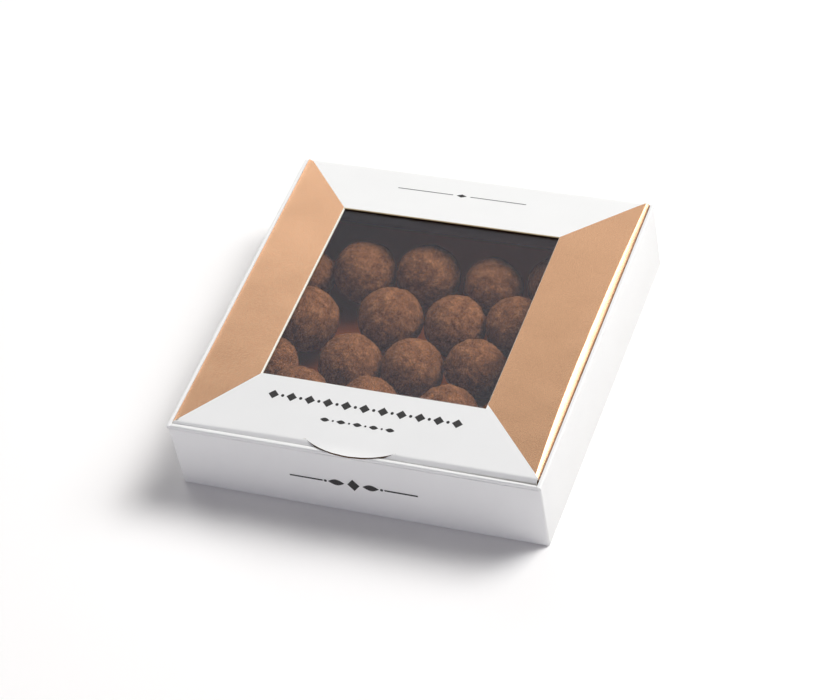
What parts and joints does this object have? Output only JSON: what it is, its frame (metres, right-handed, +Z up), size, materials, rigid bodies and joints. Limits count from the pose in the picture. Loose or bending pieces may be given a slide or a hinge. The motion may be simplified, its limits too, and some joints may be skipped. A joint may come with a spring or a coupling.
{
  "type": "window box of hazelnut dragees",
  "caption": "Shut square gift box of white board with copper side panels, a clear window in its hinged lid and one layer of round cocoa-dusted hazelnut dragees inside.",
  "frame": {"origin": "middle of the base of the tray, on the surface that the box stands on", "axes": "+Z up, -Y towards the front with the thumb tab, +X to the right seen from the front"},
  "size_m": [0.105, 0.1055, 0.0261],
  "materials": {
    "white_board": "smooth satin white coated board, slightly softened at the creases",
    "copper_foil": "satin rose-copper foil laminated on board, with a faint grain",
    "clear_film": "thin clear film with a soft sheen",
    "cocoa_coat": "matt, lumpy chocolate coat dusted with cocoa powder",
    "dark_ink": "flat black printed ornament on the board"
  },
  "bodies": {
    "box": {"tray": "white_board", "liner": "copper_foil", "dragee_01": "cocoa_coat", "dragee_02": "cocoa_coat", "dragee_03": "cocoa_coat", "dragee_04": "cocoa_coat", "dragee_05": "cocoa_coat", "dragee_06": "cocoa_coat", "dragee_07": "cocoa_coat", "dragee_08": "cocoa_coat", "dragee_09": "cocoa_coat", "dragee_10": "cocoa_coat", "dragee_11": "cocoa_coat", "dragee_12": "cocoa_coat", "dragee_13": "cocoa_coat", "dragee_14": "cocoa_coat", "dragee_15": "cocoa_coat", "dragee_16": "cocoa_coat", "dragee_17": "cocoa_coat", "dragee_18": "cocoa_coat", "dragee_19": "cocoa_coat", "dragee_20": "cocoa_coat", "dragee_21": "cocoa_coat", "dragee_22": "cocoa_coat", "dragee_23": "cocoa_coat", "dragee_24": "cocoa_coat"},
    "lid": {"lid": "white_board", "window_film": "clear_film"}
  },
  "joints": [
    {"name": "lid_hinge", "type": "hinge", "parent": "box", "child": "lid", "pos_m": [0, 0.0525, 0.0226], "axis": [-1, 0, 0], "range_deg": [0, 170]}
  ]
}
